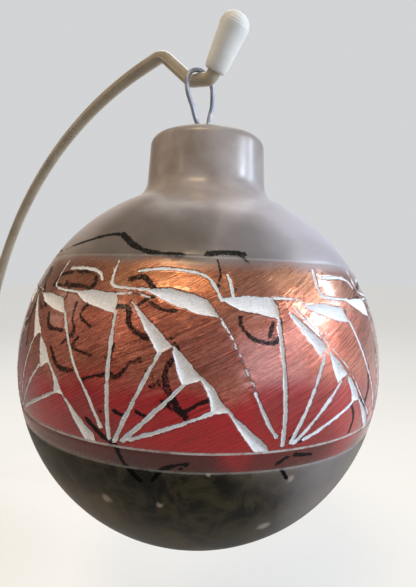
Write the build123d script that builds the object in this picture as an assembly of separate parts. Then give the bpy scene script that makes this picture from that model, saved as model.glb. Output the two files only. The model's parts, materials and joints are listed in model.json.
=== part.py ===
from build123d import *
import math
import os

# A hollow clay ball ornament on a spring wire hanger, hung in the saddle of a bent display arm.
# Millimetres. +Z is plumb. The origin is the hang point: the top of the rod in the arm's saddle,
# where the wire rests. The arm bows away from it towards -X and +Y.

# ball and neck, measured from the ball's centre along the ball's own axis
ball_radius = 38.0
wall = 3.0
neck_top_radius = 12.5
neck_root_radius = 13.2
neck_top = 48.5
neck_crown = 0.6
neck_edge_fillet = 2.2
neck_root_fillet = 5.0
neck_inside_fillet = 1.2
hole_radius = 1.8
hole_lip_fillet = 0.35
ring_heights = (0.556 * ball_radius, -0.190 * ball_radius, -0.272 * ball_radius)
ring_groove_radius = 0.25

# wire hanger
wire_radius = 0.5
loop_half_width = 3.7
loop_turn = 50.0
waist_drop = 8.0
waist_half_width = 2.7
waist_shift = 0.22
throat_drop = 11.6
throat_half_width = 1.6
throat_shift = 0.4
leg_half_gap = 0.9
hook_bend = 1.2
hook_reach = 7.2
contact_gap = 0.07

# where the loop's crown sits, measured from the ball's centre and axis
hang_height = 63.7
hang_offset = 2.3

# display arm and its cap
rod_radius = 1.5
arm_turn = 40.0
saddle_left = 2.7
saddle_right = 3.1
saddle_slope = 12.0
hump_reach = 11.7
hump_height = 7.7
bow_reach = 113.4
bow_fall = 7.27
foot_depth = 123.7
upturn_slope = 55.0
upturn_length = 9.5
upturn_bend = 1.8
saddle_bend = 2.4
hump_bend = 4.5
bow_bend = 111.0
foot_chamfer = 0.3
cap_start = 1.6
cap_length = 12.2
cap_base_radius = 2.4
cap_shoulder = 9.3
cap_shoulder_radius = 3.2
cap_base_fillet = 0.5
cap_bore_clearance = 0.02
cap_bore_depth = 8.1

# the ball hangs with its centre plumb below the hang point, so its axis leans a little
lean = math.degrees(math.atan2(hang_offset, hang_height))
ball_place = Rot(0, lean, 0) * Pos(hang_offset, 0, -hang_height)
neck_apex = neck_top + neck_crown
roof_underside = neck_top - wall


def neck_and_ball_section(radius, root_radius, top_radius, top, crown, root_fillet, edge_fillet):
    """Half section of a ball with a neck, in X (radius) and Y (height)."""
    join = math.sqrt(radius**2 - root_radius**2)
    outline = ThreePointArc((0, -radius), (radius, 0), (root_radius, join))
    outline += Line((root_radius, join), (top_radius, top))
    if crown:
        middle = top + 0.75 * crown
        outline += ThreePointArc((top_radius, top), (top_radius / 2, middle), (0, top + crown))
    else:
        outline += Line((top_radius, top), (0, top))
    outline += Line((0, top + crown), (0, -radius))
    section = make_face(outline)
    root_corner = section.vertices().sort_by_distance((root_radius, join, 0))[0]
    section = fillet(root_corner, root_fillet)
    edge_corner = section.vertices().sort_by_distance((top_radius, top, 0))[0]
    return fillet(edge_corner, edge_fillet)


def make_ball_shell():
    outside = neck_and_ball_section(
        ball_radius, neck_root_radius, neck_top_radius, neck_top, neck_crown,
        neck_root_fillet, neck_edge_fillet,
    )
    inside = neck_and_ball_section(
        ball_radius - wall, neck_root_radius - wall, neck_top_radius - wall, roof_underside, 0,
        neck_root_fillet + wall, neck_inside_fillet,
    )
    shell = revolve(Plane.XZ * outside, Axis.Z) - revolve(Plane.XZ * inside, Axis.Z)
    roof_middle = (roof_underside + neck_apex) / 2
    shell -= Pos(0, 0, roof_middle) * Cylinder(hole_radius, 3 * wall)
    lips = shell.edges().filter_by(GeomType.CIRCLE).filter_by(
        lambda edge: math.isclose(edge.radius, hole_radius, abs_tol=1e-4)
    )
    shell = fillet(lips, hole_lip_fillet)
    for height in ring_heights:
        ring_radius = math.sqrt(ball_radius**2 - height**2)
        shell -= Pos(0, 0, height) * Torus(ring_radius, ring_groove_radius)
    return ball_place * shell


def make_wire_hanger():
    """One hairpin wire: hook, leg, crown, leg, hook. Its crown is plumb over the hang point."""
    turn = math.radians(loop_turn)
    across = Vector(math.sin(turn), math.cos(turn), 0)
    plumb = Vector(0, 0, 1)
    crown_top = wire_radius + contact_gap
    crown_centre = plumb * (crown_top - loop_half_width)

    tilt = math.radians(lean)
    ball_axis = Vector(math.sin(tilt), 0, math.cos(tilt))
    ball_centre = plumb * -math.hypot(hang_height, hang_offset)
    hole_top = ball_centre + ball_axis * neck_top
    hook_level = ball_centre + ball_axis * (roof_underside - contact_gap - wire_radius)
    outwards = (across - ball_axis * across.dot(ball_axis)).normalized()
    to_hole = Vector(hole_top.X, 0, 0)
    waist = plumb * -waist_drop + to_hole * waist_shift
    throat = plumb * -throat_drop + to_hole * throat_shift

    def hook_and_leg(side):
        """The hook under the roof, its bend, the stem in the hole and the leg up to the crown."""
        out = outwards * side
        corner = math.sqrt(0.5) * hook_bend
        hook_end = hook_level + out * hook_reach
        bend_end = hook_level + out * (leg_half_gap + hook_bend)
        bend_middle = bend_end - out * corner + ball_axis * (hook_bend - corner)
        bend_start = hook_level + out * leg_half_gap + ball_axis * hook_bend
        stem_top = hole_top + out * leg_half_gap
        shoulder = crown_centre + across * (side * loop_half_width)
        hook = Line(hook_end, bend_end)
        bend = ThreePointArc(bend_end, bend_middle, bend_start)
        stem = Line(bend_start, stem_top)
        leg = Spline(
            stem_top,
            throat + across * (side * throat_half_width),
            waist + across * (side * waist_half_width),
            shoulder,
            tangents=(ball_axis, plumb),
        )
        return [hook, bend, stem, leg], shoulder

    first, first_shoulder = hook_and_leg(-1)
    second, second_shoulder = hook_and_leg(1)
    crown = ThreePointArc(first_shoulder, plumb * crown_top, second_shoulder)
    path = Wire([piece.edge() for piece in first + [crown] + second])
    hook = first[0]
    return sweep(Plane(hook @ 0, z_dir=hook % 0) * Circle(wire_radius), path=path)


def arm_plane():
    """The upright plane the arm is bent in: local X runs from the bow to the saddle, local Y is up."""
    turn = math.radians(arm_turn)
    along = Vector(math.cos(turn), -math.sin(turn), 0)
    return Plane(origin=(0, 0, 0), x_dir=along, z_dir=along.cross(Vector(0, 0, 1)))


def saddle_level(reach):
    """Height of the rod's centreline in the saddle, whose top passes through the hang point."""
    slope = math.radians(saddle_slope)
    return -rod_radius / math.cos(slope) - reach * math.tan(slope)


def upturn_point(distance):
    """A point of the upturned end, at this distance from the saddle's right corner."""
    slope = math.radians(upturn_slope)
    rise = saddle_level(saddle_right) + distance * math.sin(slope)
    return (saddle_right + distance * math.cos(slope), rise)


def make_display_arm():
    bow_drop = (bow_reach - hump_reach) * math.tan(math.radians(bow_fall))
    path = FilletPolyline(
        (-bow_reach, -foot_depth),
        (-bow_reach, hump_height - bow_drop),
        (-hump_reach, hump_height),
        (-saddle_left, saddle_level(-saddle_left)),
        (saddle_right, saddle_level(saddle_right)),
        upturn_point(upturn_length),
        radius=(bow_bend, hump_bend, saddle_bend, upturn_bend),
    )
    path = arm_plane() * path
    rod = sweep(Plane(path @ 0, z_dir=path % 0) * Circle(rod_radius), path=path)
    foot_edge = rod.edges().sort_by(Axis.Z)[0]
    return chamfer(foot_edge, foot_chamfer)


def make_arm_tip():
    bore_radius = rod_radius + cap_bore_clearance
    shoulder = (cap_shoulder_radius, cap_shoulder)
    side = (cap_shoulder_radius - cap_base_radius, cap_shoulder)
    outline = Line((0, 0), (cap_base_radius, 0))
    outline += Line((cap_base_radius, 0), shoulder)
    outline += Spline(shoulder, (0, cap_length), tangents=(side, (-1, 0)))
    outline += Line((0, cap_length), (0, 0))
    section = make_face(outline)
    base_corner = section.vertices().sort_by_distance((cap_base_radius, 0, 0))[0]
    section = fillet(base_corner, cap_base_fillet)
    cap = revolve(Plane.XZ * section, Axis.Z)
    cap -= Cylinder(bore_radius, cap_bore_depth, align=(Align.CENTER, Align.CENTER, Align.MIN))
    base = arm_plane().from_local_coords(upturn_point(cap_start))
    end = arm_plane().from_local_coords(upturn_point(cap_start + cap_length))
    return Plane(origin=base, z_dir=end - base) * cap


nodes = {
    "ball_shell": make_ball_shell(),
    "wire_hanger": make_wire_hanger(),
    "display_arm": make_display_arm(),
    "arm_tip": make_arm_tip(),
}
os.makedirs("parts", exist_ok=True)
for name, shape in nodes.items():
    export_step(shape, f"parts/{name}.step")
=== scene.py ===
import json
import math

import bpy
import numpy as np
from mathutils import Matrix, Vector, kdtree
from mathutils.geometry import delaunay_2d_cdt


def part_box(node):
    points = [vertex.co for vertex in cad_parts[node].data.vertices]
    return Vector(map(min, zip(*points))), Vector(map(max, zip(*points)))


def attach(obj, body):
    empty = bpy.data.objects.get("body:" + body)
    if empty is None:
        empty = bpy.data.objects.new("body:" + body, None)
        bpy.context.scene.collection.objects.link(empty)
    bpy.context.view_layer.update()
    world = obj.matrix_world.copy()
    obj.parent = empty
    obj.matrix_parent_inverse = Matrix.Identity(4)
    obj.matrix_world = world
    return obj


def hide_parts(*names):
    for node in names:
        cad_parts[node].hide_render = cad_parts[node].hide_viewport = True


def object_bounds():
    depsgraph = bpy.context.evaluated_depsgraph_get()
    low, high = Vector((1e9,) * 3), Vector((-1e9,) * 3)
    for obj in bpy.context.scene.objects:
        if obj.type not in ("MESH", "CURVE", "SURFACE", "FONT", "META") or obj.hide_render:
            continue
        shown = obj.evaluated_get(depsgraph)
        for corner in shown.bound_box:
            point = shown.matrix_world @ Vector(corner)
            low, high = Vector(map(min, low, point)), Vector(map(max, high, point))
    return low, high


# A hollow clay ball ornament, smoke-clouded, with a copper-to-red painted band scratched through
# to the pale clay, hanging on a spring wire loop from a cream painted rod arm with a bullet cap.
# Lengths are in mm, and MM turns them into metres. Lights, bump heights and Object coordinates are
# in metres from the start.

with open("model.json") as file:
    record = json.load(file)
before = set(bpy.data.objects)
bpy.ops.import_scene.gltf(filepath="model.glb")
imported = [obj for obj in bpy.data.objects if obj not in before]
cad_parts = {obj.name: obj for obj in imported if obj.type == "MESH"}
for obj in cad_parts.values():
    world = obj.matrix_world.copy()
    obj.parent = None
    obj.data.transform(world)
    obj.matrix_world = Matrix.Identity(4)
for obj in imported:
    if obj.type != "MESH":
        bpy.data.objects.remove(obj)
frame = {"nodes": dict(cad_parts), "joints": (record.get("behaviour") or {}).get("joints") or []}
cad_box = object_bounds()
MM = 0.001
joints = {joint["name"]: joint for joint in frame["joints"]}

# ---- the ball's own frame
ball_low, ball_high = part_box("ball_shell")
BALL_RADIUS = (ball_high.y - ball_low.y) / 2 / MM
ball_centre = Vector(joints["ball_turn"]["pos_m"]) / MM
ball_axis = Vector(joints["ball_turn"]["axis"]).normalized()
ball_side = Vector((0, 1, 0)).cross(ball_axis).normalized()
ball_back = ball_axis.cross(ball_side)
ball_place = Matrix((ball_side, ball_back, ball_axis)).transposed().to_4x4()
ball_place = Matrix.Translation(ball_centre) @ ball_place

# the shell's sizes, as radii and as heights from the ball's centre
WALL = 3.0
NECK_ROOT = 13.2
NECK_TOP_RADIUS = 12.5
NECK_TOP = 48.5
NECK_CROWN = 0.6
ROOT_FILLET = 5.0
EDGE_FILLET = 2.2
INSIDE_FILLET = 1.2
HOLE_RADIUS = 1.8
HOLE_LIP = 0.35

# latitudes of the three incised rings in degrees, and their groove
RING_TOP = 33.8
RING_LOW = -10.95
RING_LAST = -15.8
RING_HALF_WIDTH = 0.22
RING_DEPTH = 0.2

# how deep marks are scraped at their edge and down their middle, the burr that this raises along
# them, and how uneven the ball is
EDGE_DEPTH = 0.20
VEE_DEPTH = 0.34
VEE_HALF_WIDTH = 1.4
BURR_HEIGHT = 0.05
BURR_PLACE = 0.1
BURR_WIDTH = 0.12
UNEVENNESS = 0.05

# the etched band: half widths in mm (one, or the first and the last) and the points of lines and
# closed shapes, as (degrees east of the fan's foot, degrees north)
FIRST_FAN = -20.0
SCRATCHY_HALF_WIDTH = 0.14
SPOKES = (
    ((0.36, 0.26), ((0.0, -9.5), (-0.7, 1.6), (-0.9, 14.0), (-0.9, 18.8))),
    ((0.34, 0.24), ((1.6, -9.6), (11.0, 10.4))),
    ((0.34, 0.24), ((3.1, -9.4), (16.7, 4.0))),
    ((0.30, 0.24), ((5.4, -9.1), (23.1, -1.6))),
    (0.10, ((2.8, 21.6), (13.6, 12.3), (20.5, 5.4), (26.3, -1.2), (33.0, -7.4))),
    ((0.20, 0.08), ((-1.6, 23.5), (3.3, 23.5), (7.0, 23.0))),
)
CHAIN = (
    (
        (2.8, 21.6), (7.0, 18.4), (13.0, 13.1), (14.1, 11.8),
        (12.6, 11.6), (11.0, 10.3), (8.9, 13.0), (4.0, 19.6),
    ),
    ((13.7, 12.3), (18.2, 8.3), (20.6, 5.3), (18.9, 5.0), (16.7, 4.0), (15.3, 7.1), (14.0, 10.6)),
    ((20.4, 5.7), (22.9, 3.6), (26.4, -1.4), (24.3, -1.4), (23.1, -1.6), (22.4, 1.1), (21.1, 4.0)),
    ((26.2, -1.0), (30.7, -5.1), (35.6, -9.4), (36.0, -10.7), (33.0, -10.7), (30.2, -7.0), (28.1, -4.1)),
)
LEAF = (
    (-15.5, 22.9), (-10.3, 23.8), (-2.5, 23.4), (-1.1, 22.1), (-1.1, 18.6), (-6.2, 19.6), (-10.7, 20.7),
)
# a fan's crown is either long or short, and its first spoke scratchy or solid
LONG_CROWN = {
    "lines": (
        (0.26, ((-37.5, 29.2), (-30.0, 30.2), (-22.9, 29.9), (-18.6, 28.6), (-16.8, 26.0), (-15.2, 23.0))),
        (0.24, ((-44.3, 32.1), (-44.4, 27.4), (-43.2, 25.4), (-39.6, 24.8), (-33.2, 24.5))),
        (0.24, ((-13.6, 29.3), (-13.2, 26.5), (-12.2, 23.6))),
        ((0.32, 0.16), ((-2.2, -7.4), (-4.7, -3.3), (-7.3, 2.3))),
    ),
    "leaf": (
        (-34.0, 24.6), (-28.0, 24.9), (-22.4, 24.3), (-18.6, 22.8),
        (-15.8, 18.9), (-20.8, 19.4), (-27.0, 21.4),
    ),
    "scratchy": ((-7.0, 1.6), (-9.6, 7.1), (-13.2, 14.6), (-15.8, 18.9)),
}
SHORT_CROWN = {
    "lines": (
        (0.26, ((-23.0, 29.4), (-14.4, 29.6), (-9.4, 28.8), (-7.8, 26.6))),
        (0.24, ((-26.0, 31.9), (-26.4, 26.4), (-24.6, 24.0), (-14.4, 23.4))),
        ((0.32, 0.24), ((-1.8, -7.1), (-6.2, -0.2), (-9.6, 4.9), (-13.4, 11.4), (-16.9, 17.8))),
    ),
    "leaf": ((-33.6, 21.8), (-26.2, 22.2), (-19.2, 21.2), (-16.8, 17.4), (-22.6, 18.2), (-29.0, 19.8)),
    "scratchy": (),
}
LONG_FANS = (1, 3, 5, 6, 8)
# how far each fan's wedge chain is moved, so that no two fans are alike
CHAIN_SHIFTS = (
    (0, 0), (-1.6, -0.5), (-0.8, 0.4), (0.6, -0.4), (-1.0, 0),
    (0.4, 0.6), (-0.6, -0.6), (0.8, 0.2), (0.4, 0),
)
HAND_WOBBLE = 0.18

# soot trails left by burning hair: half widths in mm, then (degrees east of the front, degrees north)
TRAILS = (
    ((0.12, 0.34), ((-60, 35), (-46, 38), (-33, 40.5), (-28, 40.3))),
    ((0.52, 0.40), ((-28, 40.5), (-21, 36.5), (-15, 34.6), (-6, 34))),
    ((0.50, 0.35), ((1, 34.6), (6, 35.2), (12, 35))),
    (0.18, ((10, 35), (12.2, 33), (12.4, 29.5), (8, 25))),
    (0.21, ((4, 33), (4.6, 29), (4, 26))),
    (0.30, ((9, 19), (9.4, 16.8), (12, 14.3), (16, 13.3), (18.6, 14.6), (19.2, 18.5))),
    (0.25, ((16, 15), (17.2, 18))),
    (0.44, ((-19, 27), (-15.4, 27.7), (-13.4, 26.4), (-12, 24.8))),
    (0.39, ((-21, 20.2), (-17.6, 20), (-17, 17), (-15.2, 15), (-12, 13.6))),
    (0.28, ((-15, 21), (-13.4, 22.4), (-11.6, 23))),
    (0.34, ((-11.4, 21), (-9, 20), (-5.6, 19.8))),
    (0.32, ((-6.4, 14), (-5, 12), (-5, 11))),
    (0.44, ((-6.2, 9.2), (-7.2, 6.6), (-6.9, 3.8), (-5, 0.6), (-2.6, -2.6))),
    (0.30, ((-7.6, 0.4), (-5.4, -0.9), (-3, -2.2))),
    (0.30, ((-2.4, -1.4), (0, 0.2), (3, 1.4))),
    (0.30, ((-27.5, 3), (-24.6, 4.2), (-21, 5))),
    (0.28, ((-20, 11.6), (-20.4, 7), (-19.6, 4.8), (-18, 5), (-15.6, 7.6), (-13, 9.2))),
    (0.18, ((-13, 8.6), (-12, 6.8), (-9.4, 5.4), (-9.2, 3.8), (-10.4, 3.4))),
    (0.15, ((-22, 8.6), (-17, 8.2), (-13.4, 9))),
    (0.26, ((-26.4, 21.6), (-30, 19.6), (-30.8, 17.2), (-27, 15))),
    (0.25, ((-33.6, 20.4), (-33.4, 16.6), (-32, 13.4), (-35.4, 10.4))),
    (0.21, ((-30, 12.6), (-31.4, 10), (-25, 8.6))),
    (0.30, ((-44, 17), (-42, 13.8), (-36, 13.4))),
    (0.31, ((-39.4, 9), (-35.6, 5), (-30.6, 4.6))),
    (0.38, ((-48, 24.6), (-46, 27.4), (-37, 28.4), (-30.6, 27.6), (-30, 24.8), (-37, 24.8), (-48, 24.6))),
    (0.18, ((-25.2, 2.6), (-22.6, -0.4), (-22, -3.4))),
    (0.25, ((-18.6, -2.6), (-16.6, -3.4), (-14.8, -2.6))),
    (0.25, ((-13.4, -2.2), (-10.4, -3.6))),
    (0.39, ((-26, -5.6), (-21.6, -9), (-18.6, -10.6), (-17, -14.4), (-13, -19))),
    (0.30, ((-10, -18.4), (-7.4, -15.2), (-2, -13.2), (-3.4, -15))),
    (0.28, ((21.4, -12.8), (18.6, -14.4))),
    (0.31, ((20.6, -15.8), (23, -19))),
    (0.28, ((21.6, -8), (24.6, -9))),
    (0.31, ((23.6, -12.4), (28.4, -13))),
    (0.32, ((41, -2.6), (43, -6), (42, -10))),
)
RANDOM_TRAILS = 78
SEED = 76

# spacing of the ball's vertices in mm, the gaps kept between them, and their rows along marks and rings
GROUND_SPACING = 0.95
NECK_ROW_SPACING = 0.42
NECK_SPACING = 0.62
MARK_SPACING = 0.155
TRAIL_SPACING = 0.3
FILLING_SPACING = 0.42
CHAIN_STEP = 0.3
GROUND_CLEARANCE = 0.42
MARK_CLEARANCE = 0.1
RING_CLEARANCE = 0.75
RIM_CLEARANCE = 0.3
FILLING_INSET = 0.45
MARK_ROWS = (-0.3, -0.06, 0.1, 0.34)
TRAIL_ROWS = (0.12,)
RING_ROWS = (-0.55, -0.24, -0.1, 0, 0.1, 0.24, 0.55)
RING_BAND = 0.6
RIM_POINTS = 72
FAR = 3.0


def sphere_points(degrees_east, degrees_north):
    """Points on the ball's surface, in its own frame: 0 east faces the front (-Y), +Z is north."""
    east = np.radians(degrees_east)
    north = np.radians(degrees_north)
    flat = np.cos(north)
    return BALL_RADIUS * np.stack([flat * np.sin(east), -flat * np.cos(east), np.sin(north)], -1)


def lengths(rows):
    """The length of each row, as a vector."""
    return np.linalg.norm(rows, axis=1)


def travelled(points):
    """How far along a chain each of its points is."""
    return np.concatenate([[0], np.cumsum(lengths(np.diff(points, axis=0)))])


def even_turns(count, shift=0.0):
    """Angles at an even step all the way round, all moved on by a share of that step."""
    return (np.arange(count) + shift) * 2 * math.pi / count


def travel_to(degrees_north):
    """Distance from the bottom pole, along the ball's round outside, to this latitude."""
    return BALL_RADIUS * math.radians(90 + degrees_north)


RING_TRAVELS = [travel_to(north) for north in (RING_TOP, RING_LOW, RING_LAST)]
NECK_START = travel_to(66)
MARKED_END = travel_to(55)


# ---- the ball's outline
def arc(centre, radius, start, end, count):
    """Points along an arc of a (radius, height) outline, from one angle to another, in degrees."""
    angle = np.radians(np.linspace(start, end, count))
    return np.stack([centre[0] + radius * np.cos(angle), centre[1] + radius * np.sin(angle)], -1)


def bearing(centre, point):
    """The direction from a centre to a point of the outline, in degrees."""
    return math.degrees(math.atan2(point[1] - centre[1], point[0] - centre[0]))


def along_to_distance(start, direction, target, distance):
    """The point beyond start, going along direction, that lies this far from target."""
    offset = start - target
    forward = offset @ direction
    return start + direction * (math.sqrt(forward**2 - offset @ offset + distance**2) - forward)


def neck_outline(radius, root, top_radius, top, crown, root_fillet, edge_fillet, last_radius):
    """(radius, height) points from the ball's join with the neck, up the neck and in to last_radius."""
    join = np.array([root, math.sqrt(radius**2 - root**2)])
    corner = np.array([top_radius, top])
    upward = (corner - join) / np.linalg.norm(corner - join)
    outward = np.array([upward[1], -upward[0]])
    origin = np.zeros(2)
    root_centre = along_to_distance(join + outward * root_fillet, upward, origin, radius + root_fillet)
    root_start = bearing(root_centre, origin)
    root_end = bearing(origin, outward) - 180
    points = [arc(root_centre, root_fillet, root_start, root_end, 24)]
    crown_radius = (top_radius**2 + crown**2) / (2 * crown)
    crown_centre = np.array([0, top + crown - crown_radius])
    back = corner - outward * edge_fillet - 3 * edge_fillet * upward
    edge_centre = along_to_distance(back, upward, crown_centre, crown_radius - edge_fillet)
    edge_end = bearing(crown_centre, edge_centre)
    points.append(arc(edge_centre, edge_fillet, bearing(origin, outward), edge_end, 24))
    last = math.degrees(math.acos(last_radius / crown_radius))
    points.append(arc(crown_centre, crown_radius, edge_end, last, 40))
    return np.vstack(points)


def outer_outline():
    """The outside from the bottom pole to the rim of the hole."""
    neck = neck_outline(
        BALL_RADIUS, NECK_ROOT, NECK_TOP_RADIUS, NECK_TOP, NECK_CROWN,
        ROOT_FILLET, EDGE_FILLET, HOLE_RADIUS + HOLE_LIP,
    )
    ball = arc((0, 0), BALL_RADIUS, -90, bearing((0, 0), neck[0]), 400)
    return np.vstack([ball, neck[1:]])


def inner_outline():
    """The hole's wall, the roof's underside and the inside, from the rim down to the bottom pole."""
    radius = BALL_RADIUS - WALL
    roof = NECK_TOP - WALL
    neck = neck_outline(
        radius, NECK_ROOT - WALL, NECK_TOP_RADIUS - WALL, roof, 0.01,
        ROOT_FILLET + WALL, INSIDE_FILLET, HOLE_RADIUS + HOLE_LIP,
    )[::-1]
    rim_height = outer_outline()[-1][1]
    lip = arc((HOLE_RADIUS + HOLE_LIP, rim_height - HOLE_LIP), HOLE_LIP, 90, 180, 6)[1:]
    low_lip = arc((HOLE_RADIUS + HOLE_LIP, roof + HOLE_LIP), HOLE_LIP, 180, 270, 6)
    ball = arc((0, 0), radius, bearing((0, 0), neck[-1]), -88, 60)
    return np.vstack([lip, low_lip, neck[1::4], ball])


class Outline:
    """The outside as functions of the distance travelled from the bottom pole."""

    def __init__(self):
        self.points = outer_outline()
        self.travel = travelled(self.points)
        slope = np.gradient(self.points, self.travel, axis=0)
        self.outward = np.stack([slope[:, 1], -slope[:, 0]], -1)
        middle = (self.points[1:, 0] + self.points[:-1, 0]) / 2
        growth = np.diff(self.travel) / np.maximum(middle, 1e-6)
        self.log_disc = np.concatenate([[0], np.cumsum(growth)])
        half_way = np.searchsorted(self.travel, BALL_RADIUS * math.pi / 2)
        self.log_disc -= self.log_disc[half_way]

    def radius(self, travel):
        return np.interp(travel, self.travel, self.points[:, 0])

    def height(self, travel):
        return np.interp(travel, self.travel, self.points[:, 1])

    def disc_radius(self, travel):
        """Spreads the outside flat on a disc without changing any angle."""
        angle = travel / BALL_RADIUS
        beyond = np.exp(np.interp(travel, self.travel, self.log_disc))
        return np.where(angle < math.pi / 2, np.tan(angle / 2), beyond)

    def place(self, travel, turn, rise):
        """Points in the ball's frame at these places, raised off the surface by rise."""
        out = np.stack([np.interp(travel, self.travel, self.outward[:, k]) for k in (0, 1)], -1)
        out /= lengths(out)[:, None]
        radius = self.radius(travel) + out[:, 0] * rise
        height = self.height(travel) + out[:, 1] * rise
        return np.stack([radius * np.sin(turn), -radius * np.cos(turn), height], -1)


outline = Outline()


# ---- noise and strokes
def value_noise(points, scale, seed):
    """Smooth seeded noise in 3-D, from -1 to 1. Scale is in bumps per millimetre."""
    spot = points * scale + 1000.0
    cell = np.floor(spot).astype(np.int64)
    share = spot - cell
    share = share * share * (3 - 2 * share)
    total = np.zeros(len(points))
    for corner in np.ndindex(2, 2, 2):
        key = cell + np.array(corner)
        mixed = key[:, 0] * 73856093 ^ key[:, 1] * 19349663 ^ key[:, 2] * 83492791 ^ seed * 2654435761
        mixed = (mixed ^ (mixed >> 13)) * 1274126177 & 0xFFFFFFFF
        mixed = (mixed ^ (mixed >> 16)) & 0xFFFF
        weight = np.prod(np.where(np.array(corner) == 1, share, 1 - share), axis=1)
        total += weight * (mixed / 32767.5 - 1)
    return total


def curve_through(points, step):
    """A smooth curve through the points, resampled at about this step."""
    points = np.asarray(points, float)
    if len(points) > 2:
        ends = np.vstack([2 * points[0] - points[1], points, 2 * points[-1] - points[-2]])
        dense = []
        for a, b, c, d in zip(ends, ends[1:], ends[2:], ends[3:]):
            t = np.linspace(0, 1, 12, endpoint=False)[:, None]
            bend = (2 * a - 5 * b + 4 * c - d) * t**2 + (3 * b - a - 3 * c + d) * t**3
            dense.append(b + 0.5 * ((c - a) * t + bend))
        points = np.vstack(dense + [points[-1:]])
    return resample(points, step)


def resample(points, step):
    """Points at an even step along a chain of points."""
    travel = travelled(points)
    count = max(2, int(round(travel[-1] / step)) + 1)
    spots = np.linspace(0, travel[-1], count)
    return np.stack([np.interp(spots, travel, points[:, k]) for k in range(3)], -1)


def on_ball(points):
    """Points moved straight out or in to the ball's surface."""
    return points * (BALL_RADIUS / lengths(points))[:, None]


class Mark:
    """A scratched or burnt stroke, or a scraped closed shape, on the ball's surface."""

    def __init__(self, degrees, half_width=0.0, closed=False, broken=False):
        degrees = np.asarray(degrees, float)
        corners = sphere_points(degrees[:, 0], degrees[:, 1])
        self.closed = closed
        self.broken = broken
        if closed:
            corners = np.vstack([corners, corners[:1]])
            self.chain = on_ball(resample_corners(corners, CHAIN_STEP))
        else:
            self.chain = on_ball(curve_through(corners, CHAIN_STEP))
        first, last = np.broadcast_to(half_width, 2)
        self.widths = np.linspace(first, last, len(self.chain))
        centre = self.chain.mean(axis=0)
        self.centre = centre / np.linalg.norm(centre)
        self.reach = lengths(self.chain - self.centre * BALL_RADIUS).max() + 2.0
        side = np.cross(self.centre, (0, 0, 1.0))
        self.side = side / np.linalg.norm(side)
        self.up = np.cross(self.side, self.centre)

    def near(self, points):
        return lengths(points - self.centre * BALL_RADIUS) < self.reach

    def inside(self, points):
        """Whether each point is inside the closed shape."""
        x, y = points @ self.side, points @ self.up
        cx, cy = self.chain @ self.side, self.chain @ self.up
        crossings = np.zeros(len(points), bool)
        for k in range(len(cx) - 1):
            spans = (cy[k] > y) != (cy[k + 1] > y)
            rise = cy[k + 1] - cy[k]
            at = cx[k] + (y - cy[k]) * (cx[k + 1] - cx[k]) / (rise if rise else 1.0)
            crossings ^= spans & (x < at)
        return crossings

    def distance(self, points):
        """Signed distance in mm from the mark's edge, negative inside it."""
        best = np.full(len(points), 1e9)
        for start, end, width in zip(self.chain[:-1], self.chain[1:], self.widths):
            run = end - start
            share = np.clip((points - start) @ run / (run @ run), 0, 1)
            gap = points - start - share[:, None] * run
            best = np.minimum(best, np.sqrt(np.einsum("ij,ij->i", gap, gap)) - width)
        return np.where(self.inside(points), -best, best) if self.closed else best

    def rows(self, offsets):
        """Points along both edges of the mark, moved out by each offset in mm."""
        normal = self.chain / BALL_RADIUS
        tangent = np.gradient(self.chain, axis=0)
        across = np.cross(normal, tangent)
        across /= lengths(across)[:, None]
        rows = []
        for offset in offsets:
            for side in (-1, 1):
                rows.append(self.chain + across * (side * (self.widths + offset))[:, None])
        return on_ball(np.vstack(rows))

    def filling(self, step):
        """Points well inside a closed shape, on a staggered grid."""
        flat_x, flat_y = self.chain @ self.side, self.chain @ self.up
        xs = np.arange(flat_x.min(), flat_x.max(), step)
        ys = np.arange(flat_y.min(), flat_y.max(), step * 0.87)
        grid_x, grid_y = np.meshgrid(xs, ys)
        grid_x = grid_x + (np.arange(len(ys)) % 2)[:, None] * step / 2
        x, y = grid_x.ravel(), grid_y.ravel()
        out = np.sqrt(np.maximum(BALL_RADIUS**2 - x**2 - y**2, 0))
        points = x[:, None] * self.side + y[:, None] * self.up + out[:, None] * self.centre
        return points[self.distance(points) < -FILLING_INSET]


def resample_corners(corners, step):
    """Points at an even step that keep every corner."""
    pieces = [resample(np.stack(pair), step)[:-1] for pair in zip(corners[:-1], corners[1:])]
    return np.vstack(pieces + [corners[-1:]])


def etched_marks():
    """The scratched band: one fan of spokes, its wedge chain, leaves and thin lines, repeated."""
    random = np.random.default_rng(SEED)
    marks = []

    def add(shape, half_width=0.0, **kind):
        wobble = random.normal(0, HAND_WOBBLE, (len(shape), 2))
        degrees = np.asarray(shape, float) + wobble + (east, 0)
        scale = random.uniform(0.9, 1.12)
        marks.append(Mark(degrees, np.multiply(half_width, scale), **kind))

    for fan, shift in enumerate(CHAIN_SHIFTS):
        east = FIRST_FAN + fan * 360 / len(CHAIN_SHIFTS)
        crown = LONG_CROWN if fan in LONG_FANS else SHORT_CROWN
        for half_width, line in SPOKES + crown["lines"]:
            add(line, half_width)
        if crown["scratchy"]:
            add(crown["scratchy"], SCRATCHY_HALF_WIDTH, broken=True)
        for wedge in CHAIN:
            add(np.asarray(wedge) + shift, closed=True)
        for leaf in (LEAF, crown["leaf"]):
            add(leaf, closed=True)
    return marks


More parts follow.
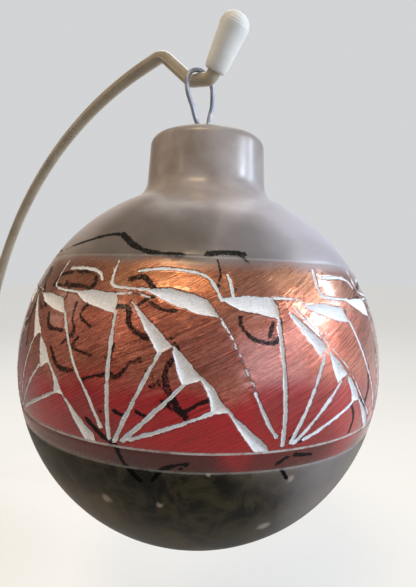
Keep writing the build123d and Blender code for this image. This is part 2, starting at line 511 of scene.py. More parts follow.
def soot_trails():
    """Burnt hair trails: those at the front, and seeded wandering ones all around the rest."""
    random = np.random.default_rng(SEED + 1)
    trails = [Mark(line, half_width) for half_width, line in TRAILS]
    for _ in range(RANDOM_TRAILS):
        east = random.uniform(48, 308)
        north = random.choice([random.uniform(-22, 42), random.uniform(8, 36)])
        heading = random.uniform(0, 2 * math.pi)
        line = [(east, north)]
        for _ in range(random.integers(2, 7)):
            heading += random.normal(0, 0.8)
            stride = random.uniform(2.0, 4.5)
            east += stride * math.cos(heading) / math.cos(math.radians(north))
            north += stride * math.sin(heading)
            line.append((east, north))
        if max(abs(spot[1]) for spot in line) < 50:
            trails.append(Mark(line, random.uniform(0.14, 0.42)))
    return trails


# ---- the ball's mesh
def thin_out(points, spacing):
    """Drops points that are nearer than spacing to one kept before them in a neighbouring cell."""
    taken = {}
    kept = []
    cells = np.floor(points / spacing).astype(int).tolist()
    steps = list(np.ndindex(3, 3, 3))
    limit = spacing * spacing
    for index, ((i, j, k), (x, y, z)) in enumerate(zip(cells, points.tolist())):
        free = True
        for di, dj, dk in steps:
            other = taken.get((i + di - 1, j + dj - 1, k + dk - 1))
            if other and (other[0] - x) ** 2 + (other[1] - y) ** 2 + (other[2] - z) ** 2 < limit:
                free = False
                break
        if free:
            taken[(i, j, k)] = (x, y, z)
            kept.append(index)
    return points[kept]


def ground_levels():
    """How far up the outside each row of vertices is, with extra rows at the neck and the rings."""
    end = outline.travel[-1]
    levels = [0.0]
    while levels[-1] < end - GROUND_SPACING:
        levels.append(levels[-1] + (GROUND_SPACING if levels[-1] < NECK_START else NECK_ROW_SPACING))
    levels = [level for level in levels if level < end - RIM_CLEARANCE]
    for ring in RING_TRAVELS:
        levels = [level for level in levels if abs(level - ring) > RING_CLEARANCE]
        levels += [ring + offset for offset in RING_ROWS]
    return sorted(levels)


def ground_spots():
    """(travel, turn) of staggered rows over the whole outside."""
    spots = []
    for number, level in enumerate(ground_levels()):
        step = GROUND_SPACING if level < NECK_START else NECK_SPACING
        count = max(1, int(round(2 * math.pi * outline.radius(level) / step)))
        turn = even_turns(count, 0.5 * (number % 2))
        spots.append(np.stack([np.full(count, level), turn], -1))
    return np.vstack(spots)


def to_travel_turn(points):
    """(travel, turn) of points on the round part of the ball."""
    north = np.arcsin(np.clip(points[:, 2] / BALL_RADIUS, -1, 1))
    return np.stack([BALL_RADIUS * (north + math.pi / 2), np.arctan2(points[:, 0], -points[:, 1])], -1)


def nearest_distance(points, others):
    tree = kdtree.KDTree(len(others))
    for index, spot in enumerate(others.tolist()):
        tree.insert(spot, index)
    tree.balance()
    return np.array([tree.find(spot)[2] for spot in points.tolist()])


def signed_field(points, marks):
    """The least signed distance to any mark's edge. A broken mark fades out in seeded gaps."""
    field = np.full(len(points), FAR)
    for mark in marks:
        near = np.nonzero(mark.near(points))[0]
        distance = mark.distance(points[near])
        if mark.broken:
            gaps = value_noise(points[near], 0.75, 5) + 0.5 * value_noise(points[near], 2.1, 6)
            distance = distance + 0.5 * np.clip(gaps - 0.1, 0, 1)
        field[near] = np.minimum(field[near], distance)
    return field


def smooth_step(value, low, high):
    share = np.clip((value - low) / (high - low), 0, 1)
    return share * share * (3 - 2 * share)


def surface_spots(cuts, trails):
    """Where the outside's vertices go: along the edges of every mark, inside wedges, and between."""
    edge_rows = [mark.rows(MARK_ROWS) for mark in cuts]
    fillings = [mark.filling(FILLING_SPACING) for mark in cuts if mark.closed]
    trail_rows = [mark.rows(TRAIL_ROWS) for mark in trails] + [mark.chain[::2] for mark in trails]
    marks = thin_out(np.vstack(edge_rows + fillings), MARK_SPACING)
    trail_points = thin_out(np.vstack(trail_rows), TRAIL_SPACING)
    trail_points = trail_points[nearest_distance(trail_points, marks) > TRAIL_SPACING]
    marks = np.vstack([marks, trail_points])
    spots = ground_spots()
    ground = outline.place(spots[:, 0], spots[:, 1], np.zeros(len(spots)))
    free = nearest_distance(ground, marks) > GROUND_CLEARANCE
    rings = ring_distance(spots[:, 0]) < RING_BAND
    rim = np.stack([np.full(RIM_POINTS, outline.travel[-1]), even_turns(RIM_POINTS)], -1)
    clear = nearest_distance(marks, ground[rings]) > MARK_CLEARANCE
    return np.vstack([rim, spots[rings | free], to_travel_turn(marks)[clear]])


def ring_distance(travel):
    """Distance in mm to the nearest incised ring."""
    return np.min([np.abs(travel - ring) for ring in RING_TRAVELS], axis=0)


def ball_vertices(spots, cuts, trails):
    """Vertex places in the ball's frame, the values its material reads, and the unmarked places."""
    travel, turn = spots[:, 0], spots[:, 1]
    ground = outline.place(travel, turn, np.zeros(len(spots)))
    round_part = travel < MARKED_END
    cut = np.full(len(spots), FAR)
    cut[round_part] = signed_field(ground[round_part], cuts)
    cut = cut + (0.10 * value_noise(ground, 0.9, 11) + 0.09 * value_noise(ground, 2.6, 12))
    soot = np.full(len(spots), FAR)
    soot[round_part] = signed_field(ground[round_part], trails)
    ring = ring_distance(travel)
    floor = 0.06 * value_noise(ground, 0.8, 21) + 0.06 * value_noise(ground, 1.9, 22)
    scraped = smooth_step(-cut, -0.06, 0.22)
    dig = EDGE_DEPTH + VEE_DEPTH * np.clip(-cut / VEE_HALF_WIDTH, 0, 1)
    burr = BURR_HEIGHT * np.exp(-(((cut - BURR_PLACE) / BURR_WIDTH) ** 2))
    rise = burr * (1 + value_noise(ground, 2.2, 23)) - scraped * (dig + floor)
    rise -= RING_DEPTH * (1 - smooth_step(ring, 0.0, RING_HALF_WIDTH)) * (1 - scraped)
    rise += UNEVENNESS * value_noise(ground, 0.11, 31) * round_part
    return outline.place(travel, turn, rise), {"cut": cut, "soot": soot, "ring": ring}, ground


def outer_triangles(spots):
    """Triangles over the outside, found on the flat disc."""
    disc = outline.disc_radius(spots[:, 0])
    flat = np.stack([disc * np.cos(spots[:, 1]), disc * np.sin(spots[:, 1])], -1)
    result = delaunay_2d_cdt([Vector(spot) for spot in flat.tolist()], [], [], 0, 1e-9)
    origin = [sources[0] for sources in result[3]]
    return [[origin[k] for k in face] for face in result[2]]


def turned(profile, count):
    """Rows of points from a (radius, height) outline turned about +Z, each starting at the front."""
    turn = even_turns(count)
    return np.stack([
        np.outer(profile[:, 0], np.sin(turn)),
        -np.outer(profile[:, 0], np.cos(turn)),
        np.outer(profile[:, 1], np.ones(count)),
    ], -1).reshape(-1, 3)


def strip(upper, lower, count):
    """Quads between two closed rows of count vertices, given each row's first index."""
    quads = []
    for k in range(count):
        after = (k + 1) % count
        quads.append([upper + k, lower + k, lower + after, upper + after])
    return quads


def wall_faces(first_row, row_count, pole):
    """Quads from the rim down through each row inside it, closed at the bottom pole."""
    rows = [0] + [first_row + k * RIM_POINTS for k in range(row_count)]
    faces = []
    for upper, lower in zip(rows, rows[1:]):
        faces += strip(upper, lower, RIM_POINTS)
    last = rows[-1]
    return faces + [[last + k, pole, last + (k + 1) % RIM_POINTS] for k in range(RIM_POINTS)]


def add_values(mesh, name, values):
    """Stores one number or one vector per vertex for the material to read."""
    kind, field = ("FLOAT", "value") if values.ndim == 1 else ("FLOAT_VECTOR", "vector")
    attribute = mesh.attributes.new(name, kind, "POINT")
    attribute.data.foreach_set(field, values.astype(np.float32).ravel())


def new_object(name, points, faces, place=Matrix.Identity(4)):
    """A smooth shaded mesh object. Points are mm in the frame that place puts in the row frame."""
    mesh = bpy.data.meshes.new(name)
    mesh.from_pydata((np.asarray(points) * MM).tolist(), [], faces)
    mesh.transform(Matrix.Translation(place.translation * MM) @ place.to_3x3().to_4x4())
    mesh.validate()
    mesh.update()
    mesh.shade_smooth()
    thing = bpy.data.objects.new(name, mesh)
    bpy.context.scene.collection.objects.link(thing)
    return thing


def make_ball():
    cuts, trails = etched_marks(), soot_trails()
    spots = surface_spots(cuts, trails)
    places, values, ground = ball_vertices(spots, cuts, trails)
    inner = inner_outline()
    wall = turned(inner, RIM_POINTS)
    bottom = np.array([[0, 0, WALL - BALL_RADIUS]])
    faces = outer_triangles(spots)
    faces += wall_faces(len(places), len(inner), len(places) + len(wall))
    ball = new_object("clay_ball", np.vstack([places, wall, bottom]), faces, ball_place)
    hidden = np.ones(len(wall) + 1)
    for name, column in values.items():
        add_values(ball.data, name, np.concatenate([column, FAR * hidden]))
    add_values(ball.data, "ball_place", np.vstack([ground, wall, bottom]))
    add_values(ball.data, "inside", np.concatenate([np.zeros(len(places)), hidden]))
    return ball


# ---- materials
def colour(red, green, blue):
    """A screen colour (0 to 255) as a linear one."""
    linear = []
    for channel in (red, green, blue):
        share = channel / 255
        linear.append(share / 12.92 if share < 0.04045 else ((share + 0.055) / 1.055) ** 2.4)
    return (*linear, 1.0)


class Nodes:
    """Short ways to build a node tree."""

    def __init__(self, tree):
        self.tree = tree

    def node(self, kind, inputs=None, **settings):
        node = self.tree.nodes.new(kind)
        for key, value in settings.items():
            setattr(node, key, value)
        for key, value in (inputs or {}).items():
            self.feed(node.inputs[key], value)
        return node

    def feed(self, socket, value):
        if isinstance(value, bpy.types.NodeSocket):
            self.tree.links.new(value, socket)
        elif isinstance(value, (float, int)) and hasattr(socket.default_value, "__len__"):
            socket.default_value = (value,) * len(socket.default_value)
        else:
            socket.default_value = value

    def math(self, operation, *values):
        return self.node("ShaderNodeMath", dict(enumerate(values)), operation=operation).outputs[0]

    def times(self, first, second):
        return self.math("MULTIPLY", first, second)

    def larger(self, first, second):
        return self.math("MAXIMUM", first, second)

    def frayed(self, value, noise, amount):
        """The value, pushed up or down by noise by at most half the amount."""
        return self.math("MULTIPLY_ADD", self.math("SUBTRACT", noise, 0.5), amount, value)

    def step(self, value, low, high, start=0.0, end=1.0, kind="SMOOTHSTEP"):
        """Goes from start to end as value goes from low to high, smoothly or in a straight line."""
        inputs = {"Value": value, "From Min": low, "From Max": high, "To Min": start, "To Max": end}
        return self.node("ShaderNodeMapRange", inputs, interpolation_type=kind).outputs[0]

    def mix(self, share, first, second):
        return self.node("ShaderNodeMix", {0: share, 6: first, 7: second}, data_type="RGBA").outputs[2]

    def between(self, share, first, second):
        """A number between first and second."""
        return self.node("ShaderNodeMix", {0: share, 2: first, 3: second}, data_type="FLOAT").outputs[0]

    def noise(self, place, scale, detail=2.0, rough=0.5, warp=0.0, output="Fac"):
        inputs = {"Vector": place, "Scale": scale, "Detail": detail, "Roughness": rough, "Distortion": warp}
        return self.node("ShaderNodeTexNoise", inputs).outputs[output]

    def stored(self, name, output="Fac"):
        return self.node("ShaderNodeAttribute", attribute_name=name).outputs[output]

    def vector(self, operation, *values, output=0):
        inputs = dict(enumerate(values))
        return self.node("ShaderNodeVectorMath", inputs, operation=operation).outputs[output]

    def combine(self, x, y, z):
        return self.node("ShaderNodeCombineXYZ", {0: x, 1: y, 2: z}).outputs[0]

    def split(self, value):
        return self.node("ShaderNodeSeparateXYZ", {0: value}).outputs[:]

    def coordinates(self, output="Object"):
        return self.node("ShaderNodeTexCoord").outputs[output]

    def seen_by_camera(self):
        return self.node("ShaderNodeLightPath").outputs["Is Camera Ray"]

    def bump(self, height, distance, strength, under=None):
        inputs = {"Height": height, "Distance": distance, "Strength": strength}
        if under is not None:
            inputs["Normal"] = under
        return self.node("ShaderNodeBump", inputs).outputs[0]


class Shader(Nodes):
    """A new material's node tree, around its Principled surface."""

    def __init__(self, name):
        self.material = bpy.data.materials.new(name)
        self.material.use_nodes = True
        super().__init__(self.material.node_tree)
        self.surface = self.tree.nodes["Principled BSDF"]

    def finish(self, **inputs):
        for key, value in inputs.items():
            self.feed(self.surface.inputs[key.replace("_", " ").title().replace("Ior", "IOR")], value)
        return self.material


def put_material(thing, material):
    thing.data.materials.clear()
    thing.data.materials.append(material)


# smoke clouds on the ball: degrees east and north, radius in mm, darkness
SMOKE = (
    (-24, 39, 15, 0.66),
    (-13, 38, 13, 0.76),
    (4, 36, 9, 0.45),
    (14, 37, 11, 0.62),
    (-6, -20, 19, 1.0),
    (8, -32, 15, 1.0),
    (-38, -16, 12, 0.9),
    (-20, -46, 13, 0.7),
    (150, 38, 20, 0.6),
    (215, -26, 30, 0.95),
    (100, -32, 24, 0.8),
    (-100, 36, 16, 0.5),
)
# pale clouds, partly clay the smoke did not reach and partly painted sheen, and small chips in the smoked
# foot: east, north, radius
# the pale clouds on the right side (east 35 to 50) are painted sheen: a bluish reflection of the window light
PALE_CLAY_AND_SHEEN = ((46, 40, 17), (50, 52, 10), (-60, 50, 9), (35, -23, 13), (170, -40, 12))
CHIPS = ((-24, -27, 0.9), (-9, -26, 0.45), (24, -19, 0.7), (22, -36, 1.3), (3, -16, 0.35), (140, -30, 0.8))
# slanting strokes of the sander: slope, and noise bumps per mm along and across the stroke
LONG_SCRATCHES = ((0.50, 0.06, 4.0), (0.46, 0.08, 7.0))
SHORT_SCRATCHES = ((0.46, 0.35, 6.0), (0.50, 1.60, 4.0))


def gap_to(shader, place, east, north):
    """Distance in mm to this spot on the ball."""
    return shader.vector("DISTANCE", place, Vector(sphere_points(east, north).tolist()), output=1)


def smoke_darkness(shader, place):
    """How sooty the clay is: soft clouds with torn edges."""
    warp = shader.noise(place, 0.09, 4.0, output="Color")
    push = shader.vector("SUBTRACT", warp, (0.5, 0.5, 0.5))
    moved = shader.vector("MULTIPLY_ADD", push, (13.0, 13.0, 8.0), place)
    total = 0.0
    for east, north, radius, darkness in SMOKE:
        gap = gap_to(shader, moved, east, north)
        total = shader.larger(total, shader.step(gap, radius * 1.2, radius * 0.25, 0.0, darkness))
    wisps = shader.noise(place, 0.07, 4.0, 0.55, 0.6)
    return shader.larger(total, shader.step(wisps, 0.45, 0.75, 0.0, 0.22))


def sanding(shader, place, strokes):
    """Slanting sanding lines, laid round the ball from both sides and blended so that no seam shows."""
    x, y, z = shader.split(place)
    sway = shader.times(shader.noise(place, 0.06, 1.0), 2.0)
    winds = []
    for flip in (1.0, -1.0):
        east = shader.math("ARCTAN2", shader.times(x, flip), shader.times(y, -flip))
        along = shader.times(east, BALL_RADIUS)
        total = 0.0
        for slope, far_scale, across_scale in strokes:
            across = shader.math("ADD", shader.math("MULTIPLY_ADD", along, -slope, z), sway)
            across = shader.times(across, across_scale)
            far = shader.times(shader.math("MULTIPLY_ADD", z, slope, along), far_scale)
            line = shader.noise(shader.combine(far, across, flip + slope), 1.0, 2.0, 0.6)
            total = shader.math("MULTIPLY_ADD", line, 1 / len(strokes), total)
        winds.append(total)
    return shader.between(shader.step(y, 14.0, -2.0), winds[1], winds[0])


def clay_colour(shader, place, north, mottle, smoke):
    """Burnished clay: warm grey above the band, olive below it, clouded by smoke, with pale patches; those on
    the right are painted bluish window sheen.
    """
    upper = shader.mix(shader.step(mottle, 0.3, 0.7), colour(142, 130, 123), colour(164, 154, 149))
    lower = shader.mix(shader.step(mottle, 0.38, 0.62), colour(50, 43, 27), colour(104, 88, 60))
    clay = shader.mix(shader.step(north, -0.2, -0.3), upper, lower)
    # pale patches: clay the smoke missed, and on the right a painted bluish sheen of the window light
    clear = shader.mix(shader.step(north, -0.1, 0.1), colour(140, 133, 132), colour(178, 173, 181))
    warp = shader.noise(place, 0.20, 2.0)
    for east, degrees_north, radius in PALE_CLAY_AND_SHEEN:
        gap = shader.math("MULTIPLY_ADD", warp, 6.0, gap_to(shader, place, east, degrees_north))
        clay = shader.mix(shader.step(gap, radius * 1.7, radius * 0.6, 0.0, 0.75), clay, clear)
    blotches = shader.noise(place, 0.22, 5.0, 0.65, 0.8)
    black = shader.mix(shader.step(blotches, 0.40, 0.62), colour(16, 16, 11), colour(58, 52, 34))
    clay = shader.mix(smoke, clay, shader.mix(shader.step(north, -0.2, 0.1), black, colour(50, 44, 40)))
    rough_edge = shader.noise(place, 0.9, 3.0)
    for east, degrees_north, radius in CHIPS:
        gap = shader.math("MULTIPLY_ADD", rough_edge, 1.2, gap_to(shader, place, east, degrees_north))
        chip = shader.step(gap, radius + 0.9, radius * 0.5 + 0.5, 0.0, 0.7)
        clay = shader.mix(chip, clay, colour(176, 160, 148))
    grit = shader.noise(place, 1.3, 4.0, 0.7)
    clay = shader.mix(shader.step(grit, 0.62, 0.76, 0.0, 0.10), clay, colour(190, 182, 168))
    speck = shader.step(shader.noise(place, 0.55, 1.0, 0.5), 0.80, 0.84)
    speck = shader.times(speck, shader.step(north, -0.25, -0.3))
    return shader.mix(shader.times(speck, 0.7), clay, colour(190, 176, 156))


def paint_colour(shader, place, north, patch, long_lines, short_lines):
    """Brushed gold and copper that turn red towards the bottom, and how red they are."""
    fade = shader.frayed(north, patch, 0.26)
    red = shader.step(fade, 0.13, 0.0)
    gold = shader.mix(shader.step(short_lines, 0.36, 0.64), colour(164, 96, 66), colour(210, 150, 112))
    copper = shader.mix(shader.step(short_lines, 0.36, 0.64), colour(176, 88, 68), colour(228, 144, 120))
    crimson = shader.mix(shader.step(short_lines, 0.30, 0.70), colour(156, 8, 18), colour(196, 18, 32))
    paint = shader.mix(red, shader.mix(shader.step(fade, 0.46, 0.26), gold, copper), crimson)
    browned = shader.step(shader.noise(place, 0.07, 2.0), 0.42, 0.62, 0.0, 0.40)
    paint = shader.mix(browned, paint, colour(104, 40, 28))
    middle = shader.times(shader.step(north, -0.12, 0.1), shader.step(north, 0.42, 0.26))
    light = shader.times(shader.step(long_lines, 0.55, 0.66), middle)
    paint = shader.mix(shader.times(light, 0.34), paint, colour(222, 160, 150))
    groove = shader.times(shader.step(long_lines, 0.46, 0.36), middle)
    return shader.mix(shader.times(groove, 0.34), paint, colour(74, 26, 22)), red


def smudged(shader, paint, north, patch, smoke):
    """The paint between the two lower rings, dirtied by smoke."""
    ring = math.sin(math.radians(RING_LOW))
    under_ring = shader.step(north, ring + 0.002, ring - 0.002)
    smudge = shader.larger(shader.step(patch, 0.42, 0.60, 0.25, 0.7), shader.step(smoke, 0.5, 1.0, 0.0, 0.85))
    return shader.mix(shader.times(under_ring, smudge), paint, colour(34, 16, 14))


def painted_part(shader, north, patch):
    """Where the band's paint is: feathered at the top ring, sharp at the last ring."""
    top = math.sin(math.radians(RING_TOP))
    last = math.sin(math.radians(RING_LAST))
    top_edge = shader.step(shader.frayed(north, patch, 0.08), top + 0.004, top - 0.07)
    return shader.times(top_edge, shader.step(north, last - 0.003, last + 0.004))


def burnt_part(shader, place, north, red):
    """Where soot trails lie: frayed and stippled on copper, solid on red paint and bare clay."""
    soot = shader.frayed(shader.stored("soot"), shader.noise(place, 2.2, 4.0, 0.75), 0.9)
    soot = shader.frayed(soot, shader.noise(place, 0.30, 1.0), 0.6)
    stipple = shader.step(shader.noise(place, 3.2, 1.0), 0.40, 0.50, 0.80, 1.0)
    top = math.sin(math.radians(RING_TOP))
    above = shader.step(north, top - 0.01, top + 0.02, 0.0, 0.9)
    solid = shader.larger(shader.larger(stipple, red), above)
    return shader.times(shader.step(soot, 0.12, -0.04, 0.0, 0.98), solid)


def ring_part(shader, place, north):
    """Where the incised rings show: worn, faint at the top and fainter again between the lower two."""
    worn = shader.step(shader.noise(place, 0.5, 3.0, 0.6), 0.30, 0.5, 0.35, 0.95)
    strength = shader.times(shader.step(shader.stored("ring"), 0.24, 0.12), worn)
    strength = shader.times(strength, shader.step(north, 0.3, 0.5, 1.0, 0.22))
    return shader.times(strength, shader.step(north, -0.23, -0.21, 0.32, 1.0))


def add_scrapes(shader, place, base, fibres):
    """The scraped marks, fibrous and pitted with a dark edge, over the base colour, and where they are."""
    cut_edge = shader.frayed(shader.stored("cut"), shader.noise(place, 5.0, 3.0, 0.7), 0.30)
    scraped = shader.step(cut_edge, 0.05, -0.05)
    pale = shader.mix(shader.step(fibres, 0.3, 0.55), colour(214, 215, 219), colour(248, 249, 252))
    pits = shader.step(shader.noise(place, 1.5, 2.0, 0.6), 0.30, 0.24, 0.0, 0.6)
    pale = shader.mix(pits, pale, colour(110, 100, 92))
    base = shader.mix(shader.step(cut_edge, 0.20, 0.06, 0.0, 0.6), base, colour(52, 34, 30))
    return shader.mix(scraped, base, pale), scraped


def ball_material():
    shader = Shader("smoked_clay_with_etched_band")
    place = shader.stored("ball_place", "Vector")
    north = shader.math("DIVIDE", shader.split(place)[2], BALL_RADIUS)
    long_lines = sanding(shader, place, LONG_SCRATCHES)
    short_lines = sanding(shader, place, SHORT_SCRATCHES)
    mottle = shader.noise(place, 0.16, 4.0, 0.6)
    patch = shader.noise(place, 0.10, 3.0, 0.5)
    fibres = shader.noise(place, 3.0, 4.0, 0.75, 1.2)
    smoke = smoke_darkness(shader, place)

    paint, red = paint_colour(shader, place, north, patch, long_lines, short_lines)
    paint = smudged(shader, paint, north, patch, smoke)
    painted = painted_part(shader, north, patch)
    base = shader.mix(painted, clay_colour(shader, place, north, mottle, smoke), paint)
    burnt = burnt_part(shader, place, north, red)
    base = shader.mix(burnt, base, colour(10, 9, 8))
    base, scraped = add_scrapes(shader, place, base, fibres)
    ring = ring_part(shader, place, north)
    base = shader.mix(ring, base, colour(206, 200, 194))
    inside = shader.stored("inside")
    base = shader.mix(inside, base, colour(150, 122, 98))

    # bare clay is matt, paint and burnished clay have a clear gloss, and soot dulls both
    bare = shader.larger(shader.larger(scraped, ring), inside)
    sealed = shader.math("SUBTRACT", 1.0, bare)
    unburnt = shader.math("MULTIPLY_ADD", burnt, -0.8, 1.0)
    metal = shader.times(shader.times(shader.between(red, 0.8, 0.35), painted), sealed)
    smooth = shader.step(mottle, 0.25, 0.75, 0.30, 0.40)
    rough = shader.between(painted, smooth, shader.step(long_lines, 0.35, 0.65, 0.23, 0.36))
    rough = shader.between(bare, shader.between(burnt, rough, 0.6), 0.85)
    coat = shader.between(painted, shader.step(north, -0.30, -0.24, 0.07, 0.22), 0.95)
    lines = shader.bump(long_lines, 0.00009, shader.times(painted, 0.9))
    flakes = shader.bump(short_lines, 0.00004, shader.times(painted, 0.9), lines)
    return shader.finish(
        base_color=base,
        metallic=shader.times(metal, shader.math("SUBTRACT", 1.0, burnt)),
        roughness=rough,
        normal=shader.bump(fibres, 0.00025, shader.times(bare, 0.9), flakes),
        specular_ior_level=shader.times(shader.step(north, -0.30, -0.24, 0.12, 0.5), unburnt),
        coat_weight=shader.times(shader.times(sealed, coat), unburnt),
        coat_roughness=0.15,
    )


def paint_material():
    """Cream gloss paint on a bent rod: slight pooling, fine dust, and painted shade where the wire sits."""
    shader = Shader("cream_gloss_paint")
    place = shader.coordinates()
    pooling = shader.noise(place, 120.0, 3.0, 0.55)
    cream = shader.mix(shader.step(pooling, 0.3, 0.7), colour(158, 145, 124), colour(176, 164, 142))
    dust = shader.noise(place, 2200.0, 3.0, 0.7)
    cream = shader.mix(shader.step(dust, 0.66, 0.74, 0.0, 0.06), cream, colour(104, 90, 68))
    # painted shade: a grey darkening close to the arm's origin, where the wire loop rests on the rod
    from_wire = shader.vector("LENGTH", place, output=1)
    wire_contact_shade = shader.times(shader.step(from_wire, 0.0026, 0.0010), shader.step(dust, 0.4, 0.6))
    waves = shader.bump(pooling, 0.00006, 0.5)
    return shader.finish(
        base_color=shader.mix(wire_contact_shade, cream, colour(120, 116, 108)),
        roughness=shader.step(pooling, 0.3, 0.7, 0.26, 0.34),
        normal=shader.bump(dust, 0.000005, 0.4, waves),
        coat_weight=0.6,
        coat_roughness=0.12,
    )


def wire_material():
    """Drawn grey steel wire, with fine streaks and a little staining."""
    shader = Shader("drawn_steel_wire")
    place = shader.coordinates()
    streaks = shader.noise(shader.vector("MULTIPLY", place, (5200.0, 5200.0, 500.0)), 1.0, 3.0, 0.6)
    stain = shader.noise(place, 320.0, 3.0, 0.6)
    steel = shader.mix(shader.step(stain, 0.35, 0.7), colour(150, 156, 170), colour(184, 189, 202))
    return shader.finish(
        base_color=shader.mix(shader.step(streaks, 0.5, 0.75, 0.0, 0.5), steel, colour(104, 108, 120)),
        metallic=0.7,
        roughness=shader.step(streaks, 0.3, 0.7, 0.36, 0.52),
        normal=shader.bump(streaks, 0.00004, 0.6),
    )


def cap_material():
    """Off-white moulded plastic with a fine grain."""
    shader = Shader("off_white_cap")
    place = shader.coordinates()
    tone = shader.noise(place, 180.0, 3.0, 0.55)
    grain = shader.noise(place, 3600.0, 2.0, 0.6)
    white = shader.mix(shader.step(tone, 0.35, 0.65), colour(212, 211, 204), colour(230, 230, 225))
    return shader.finish(
        base_color=shader.mix(shader.step(grain, 0.64, 0.72, 0.0, 0.25), white, colour(180, 174, 158)),
        roughness=shader.step(tone, 0.3, 0.7, 0.38, 0.5),
        normal=shader.bump(grain, 0.00003, 0.5),
    )


# ---- the cap
UPTURN_SLOPE = 55.0
CAP_LENGTH = 12.2
CAP_BASE_RADIUS = 2.4
CAP_BASE_ROUND = 0.75
CAP_SHOULDER = 9.3
CAP_SHOULDER_RADIUS = 3.2
CAP_BORE_RADIUS = 1.52
CAP_BORE_DEPTH = 8.1
CAP_BORE_EDGE = 0.1
CAP_TURNS = 96
MOULDING_RING_DEPTH = 0.02
MOULDING_RING_TURNS = 11.0
NEEDLE = 0.001


def cap_outline():
    """(radius, height) from the bore's blind end, out of the bore, up the side and over the nose."""
    bore = [
        (NEEDLE, CAP_BORE_DEPTH),
        (CAP_BORE_RADIUS - CAP_BORE_EDGE, CAP_BORE_DEPTH),
        (CAP_BORE_RADIUS, CAP_BORE_DEPTH - CAP_BORE_EDGE),
        (CAP_BORE_RADIUS, CAP_BORE_EDGE),
        (CAP_BORE_RADIUS + CAP_BORE_EDGE, 0.0),
    ]
    base = arc((CAP_BASE_RADIUS - CAP_BASE_ROUND, CAP_BASE_ROUND), CAP_BASE_ROUND, -90, 0, 10)
    heights = np.linspace(CAP_BASE_ROUND + 0.2, CAP_SHOULDER, 30)
    slope = (CAP_SHOULDER_RADIUS - CAP_BASE_RADIUS) / CAP_SHOULDER
    side = np.stack([CAP_BASE_RADIUS + slope * heights, heights], -1)
    angle = np.linspace(0, math.pi / 2, 40)[1:]
    nose = np.stack([
        CAP_SHOULDER_RADIUS * np.cos(angle) ** 0.94 + 0.06 * np.sin(2 * angle),
        CAP_SHOULDER + (CAP_LENGTH - CAP_SHOULDER) * np.sin(angle) ** 0.98,
    ], -1)
    nose[-1, 0] = NEEDLE
    return np.vstack([bore, base, side, nose])


def make_cap(base, axis):
    """The cap, turned about the rod's end, with faint moulding rings round its nose."""
    profile = cap_outline()
    nose = (profile[:, 1] > CAP_SHOULDER) & (profile[:, 0] > 0.4)
    profile[nose, 0] += MOULDING_RING_DEPTH * np.sin(profile[nose, 1] * MOULDING_RING_TURNS)
    points = turned(profile, CAP_TURNS)
    ends = list(range(CAP_TURNS))
    last = (len(profile) - 1) * CAP_TURNS
    faces = [ends[::-1], [last + k for k in ends]]
    for row in range(0, last, CAP_TURNS):
        faces += strip(row + CAP_TURNS, row, CAP_TURNS)
    place = Matrix.Translation(base) @ axis.to_track_quat("Z", "Y").to_matrix().to_4x4()
    return new_object("bullet_cap", points, faces, place)


def cap_place():
    """The middle of the cap's base in mm, and the cap's axis, which runs up the rod's upturned end."""
    points = np.array([vertex.co for vertex in frame["nodes"]["arm_tip"].data.vertices]) / MM
    slope = math.radians(UPTURN_SLOPE)
    axis = Vector(joints["loop_swing"]["axis"]) * math.cos(slope) + Vector((0, 0, math.sin(slope)))
    heights = points @ np.array(axis)
    flat = points - np.outer(heights, axis)
    middle = (flat.min(axis=0) + flat.max(axis=0)) / 2
    return Vector(middle.tolist()) + axis * heights.min(), axis


# ---- stage
BACKDROP_LEVEL = 0.72
FLOOR_GLOW = 0.56
LIT_GLOW = 0.5
LIT_FROM = 0.02
LIT_TO = 0.25
FLOOR_RADIUS = 6000.0
FLOOR_SIDES = 96


def floor_material():
    """Matt and pale. It glows evenly to the camera, and lights the ball from the right and behind."""
    shader = Shader("pale_floor")
    x, y = shader.split(shader.coordinates())[:2]
    lit = shader.step(shader.math("ADD", x, y), LIT_FROM, LIT_TO, 0.0, LIT_GLOW)
    material = shader.finish(
        base_color=colour(176, 174, 170),
        roughness=0.95,
        emission_color=colour(244, 243, 240),
        emission_strength=shader.between(shader.seen_by_camera(), lit, FLOOR_GLOW),
    )
    material.cycles.emission_sampling = "NONE"
    return material


def make_floor():
    """A wide round floor under the arm's foot."""
    points = turned(np.array([[FLOOR_RADIUS, cad_box[0].z / MM]]), FLOOR_SIDES)
    floor = new_object("floor", points, [list(range(FLOOR_SIDES))])
    put_material(floor, floor_material())


def make_world():
    """Soft room light: brighter behind the ornament than on the camera's side, and a pale backdrop."""
    world = bpy.data.worlds.new("studio")
    world.use_nodes = True
    room = Nodes(world.node_tree)
    x, y, z = room.split(room.coordinates("Generated"))
    level = 0.0
    for value, low, high, start, end in (
        (y, 0.70, 0.95, 0.0, 0.9),
        (x, -0.4, 0.9, 0.10, 0.30),
        (z, 0.2, 1.0, 0.0, 0.20),
    ):
        level = room.math("ADD", room.step(value, low, high, start, end, "LINEAR"), level)
    warm_to_cool = room.step(x, -0.6, 0.4, kind="LINEAR")
    tint = room.mix(warm_to_cool, (1.0, 0.88, 0.76, 1.0), (0.84, 0.92, 1.0, 1.0))
    seen = room.seen_by_camera()
    background = world.node_tree.nodes["Background"]
    room.feed(background.inputs["Color"], room.mix(seen, tint, (0.90, 0.91, 0.93, 1.0)))
    room.feed(background.inputs["Strength"], room.between(seen, level, BACKDROP_LEVEL))
    bpy.context.scene.world = world
    bpy.context.scene.view_settings.view_transform = "Standard"


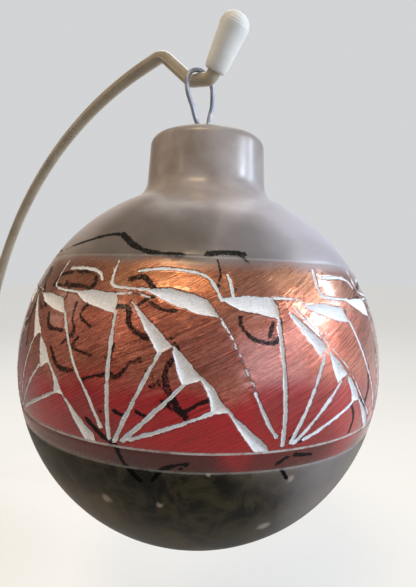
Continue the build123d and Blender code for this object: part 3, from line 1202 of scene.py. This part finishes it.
def add_light(name, east, north, distance, size, power, tint, spread=80, glossy=True):
    """A soft rectangular lamp facing the ball's centre, this far from it in metres."""
    data = bpy.data.lights.new(name, "AREA")
    data.shape = "RECTANGLE"
    data.size, data.size_y = size
    data.energy = power
    data.spread = math.radians(spread)
    data.color = tint
    lamp = bpy.data.objects.new(name, data)
    lamp.visible_glossy = glossy
    direction = Vector(sphere_points(east, north).tolist()).normalized()
    lamp.location = ball_centre * MM + direction * distance
    lamp.rotation_euler = direction.to_track_quat("Z", "Y").to_euler()
    bpy.context.scene.collection.objects.link(lamp)


def make_lights():
    add_light("window", 74, 22, 0.6, (0.5, 0.6), 0.30, (0.62, 0.78, 1.0), 120, glossy=False)
    add_light("window_glint", 72, 17, 0.50, (0.055, 0.08), 0.15, (0.78, 0.88, 1.0), 60)
    add_light("neck_glint", 93, 27, 0.20, (0.013, 0.055), 0.010, (0.68, 0.82, 1.0), 60)
    add_light("window_haze", 42, 2, 0.55, (0.40, 0.36), 0.24, (0.72, 0.82, 1.0))
    add_light("warm_fill", -92, 48, 0.7, (0.4, 0.4), 0.30, (1.0, 0.84, 0.70), glossy=False)
    add_light("warm_side", -94, 18, 0.7, (0.30, 0.16), 0.04, (1.0, 0.82, 0.66))
    add_light("lamp", -48, 27, 0.20, (0.010, 0.035), 0.0022, (1.0, 0.80, 0.58), 60)
    add_light("overhead", -20, 59, 0.7, (0.24, 0.10), 0.17, (1.0, 0.74, 0.42), 60)
    add_light("back_wash", 178, 56, 0.9, (0.5, 0.4), 0.30, (0.95, 0.97, 1.0))
    add_light("top_wash", 0, 86, 1.3, (1.6, 1.6), 1.2, (1.0, 0.99, 0.97), 180, glossy=False)


# the camera: its place from the ball's centre in mm, its directions, and its lens and focus in mm
CAMERA_PLACE = Vector((0.63, -97.58, 17.53))
CAMERA_FORWARD = Vector((0.0127, 0.9994, -0.0314))
CAMERA_UP = Vector((-0.0015, 0.0314, 0.9995))
CAMERA_LENS = 26.37
SENSOR_HEIGHT = 36.0
FOCUS_DEPTH = 34.0
F_STOP = 90.0
CLIP_START = 0.001


def make_camera():
    """At the photo's viewing angle: close to the ball, a little below the neck, level."""
    scene = bpy.context.scene
    focus = bpy.data.objects.new("focus", None)
    focus.location = (ball_centre + Vector((0, -FOCUS_DEPTH, 0))) * MM
    scene.collection.objects.link(focus)
    data = bpy.data.cameras.new("camera")
    data.sensor_fit = "VERTICAL"
    data.sensor_height = SENSOR_HEIGHT
    data.lens = CAMERA_LENS
    data.clip_start = CLIP_START
    data.dof.use_dof = True
    data.dof.focus_object = focus
    data.dof.aperture_fstop = F_STOP
    forward = CAMERA_FORWARD.normalized()
    right = forward.cross(CAMERA_UP).normalized()
    directions = Matrix((right, right.cross(forward), -forward)).transposed().to_4x4()
    camera = bpy.data.objects.new("camera", data)
    camera.matrix_world = Matrix.Translation((ball_centre + CAMERA_PLACE) * MM) @ directions
    scene.collection.objects.link(camera)
    scene.camera = camera


# ---- build
ball = make_ball()
put_material(ball, ball_material())
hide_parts("ball_shell")
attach(ball, "ornament")

cap = make_cap(*cap_place())
put_material(cap, cap_material())
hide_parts("arm_tip")
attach(cap, "hanger_arm")

put_material(frame["nodes"]["display_arm"], paint_material())
put_material(frame["nodes"]["wire_hanger"], wire_material())

make_floor()
make_world()
make_lights()
make_camera()
